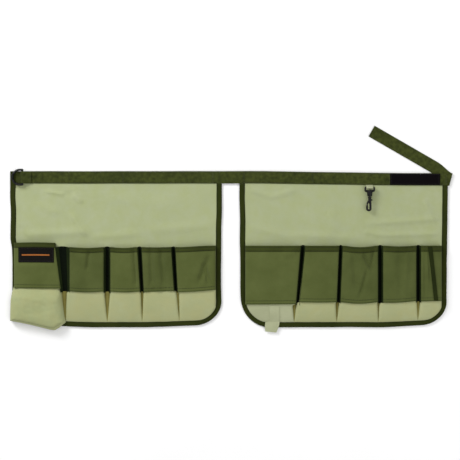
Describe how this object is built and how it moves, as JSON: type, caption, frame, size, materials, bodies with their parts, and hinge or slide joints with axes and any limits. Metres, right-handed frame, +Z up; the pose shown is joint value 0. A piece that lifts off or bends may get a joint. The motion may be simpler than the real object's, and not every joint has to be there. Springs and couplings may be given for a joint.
{
  "type": "bucket-wrap garden tool organiser",
  "caption": "Canvas bucket-wrap organiser for garden hand tools: two pocketed panels on one webbing belt, with a D-ring, a hook-and-loop tail and a swivel snap hook.",
  "frame": {"origin": "under the middle of the outline, on the surface that it lies on", "axes": "+X along the belt from the D-ring to the tail, +Y from the pockets to the belt, +Z up out of the pockets"},
  "size_m": [0.9148, 0.427, 0.0247],
  "materials": {
    "sage_canvas": "pale sage green polyester canvas, plain weave",
    "olive_canvas": "olive polyester canvas, plain weave",
    "khaki_canvas": "khaki polyester canvas, plain weave",
    "binding_tape": "dark olive folded binding tape",
    "webbing": "dark olive ribbed webbing",
    "hook_and_loop": "black looped pile",
    "label_cloth": "black woven patch without marks",
    "ring_steel": "dark nickel wire",
    "black_plastic": "moulded acetal",
    "pin_steel": "plain steel pin"
  },
  "bodies": {
    "left_panel": {"left_backing": "sage_canvas", "left_binding": "binding_tape", "belt_left_half": "webbing", "belt_bridge": "webbing", "ring_keeper": "webbing", "left_pocket_1": "olive_canvas", "left_pocket_2": "olive_canvas", "left_pocket_3": "olive_canvas", "left_pocket_4": "olive_canvas", "left_pocket_5": "olive_canvas", "left_hem_1": "binding_tape", "left_hem_2": "binding_tape", "left_hem_3": "binding_tape", "left_hem_4": "binding_tape", "left_hem_5": "binding_tape", "left_pouch": "khaki_canvas", "left_base_2": "khaki_canvas", "left_base_3": "khaki_canvas", "left_base_4": "khaki_canvas", "left_base_5": "khaki_canvas", "left_pleats": "olive_canvas", "blank_label": "label_cloth"},
    "right_panel": {"right_backing": "sage_canvas", "right_binding": "binding_tape", "belt_right_half": "webbing", "loop_patch": "hook_and_loop", "hook_ribbon": "khaki_canvas", "right_pocket_1": "olive_canvas", "right_pocket_2": "olive_canvas", "right_pocket_3": "olive_canvas", "right_pocket_4": "olive_canvas", "right_pocket_5": "olive_canvas", "right_hem_1": "binding_tape", "right_hem_2": "binding_tape", "right_hem_3": "binding_tape", "right_hem_4": "binding_tape", "right_hem_5": "binding_tape", "right_base_1": "khaki_canvas", "right_base_2": "khaki_canvas", "right_base_3": "khaki_canvas", "right_base_4": "khaki_canvas", "right_base_5": "khaki_canvas", "right_pleats": "olive_canvas", "base_tab": "khaki_canvas"},
    "tail": {"belt_tail": "webbing", "tail_hook_tape": "hook_and_loop"},
    "ring": {"d_ring": "ring_steel"},
    "eye": {"swivel_eye": "black_plastic"},
    "hook": {"hook_body": "black_plastic", "gate_pin": "pin_steel"},
    "gate": {"hook_gate": "black_plastic"}
  },
  "joints": [
    {"name": "panel_fold", "type": "hinge", "parent": "left_panel", "child": "right_panel", "pos_m": [-0.00185, 0.1085, -0.0003], "axis": [0, 1, 0], "range_deg": [-90, 180], "deforming": ["belt_bridge"]},
    {"name": "tail_fold", "type": "hinge", "parent": "right_panel", "child": "tail", "pos_m": [0.45415, 0.1085, 0.00255], "axis": [-0.2588, -0.9659, 0], "range_deg": [0, 180]},
    {"name": "ring_pivot", "type": "hinge", "parent": "left_panel", "child": "ring", "pos_m": [-0.43155, 0.1085, 0.0079], "axis": [0, 1, 0], "range_deg": [0, 160]},
    {"name": "eye_pivot", "type": "hinge", "parent": "right_panel", "child": "eye", "pos_m": [0.28515, 0.0875, 0.011], "axis": [-1, 0, 0], "range_deg": [0, 160]},
    {"name": "hook_swivel", "type": "hinge", "parent": "eye", "child": "hook", "pos_m": [0.28515, 0.0705, 0.011], "axis": [0, -1, 0], "continuous": true},
    {"name": "gate_pivot", "type": "hinge", "parent": "hook", "child": "gate", "pos_m": [0.28515, 0.0615, 0.011], "axis": [0, 0, 1], "range_deg": [0, 22], "stiffness_Nm_per_rad": 0.01, "springref_deg": -17.19}
  ]
}
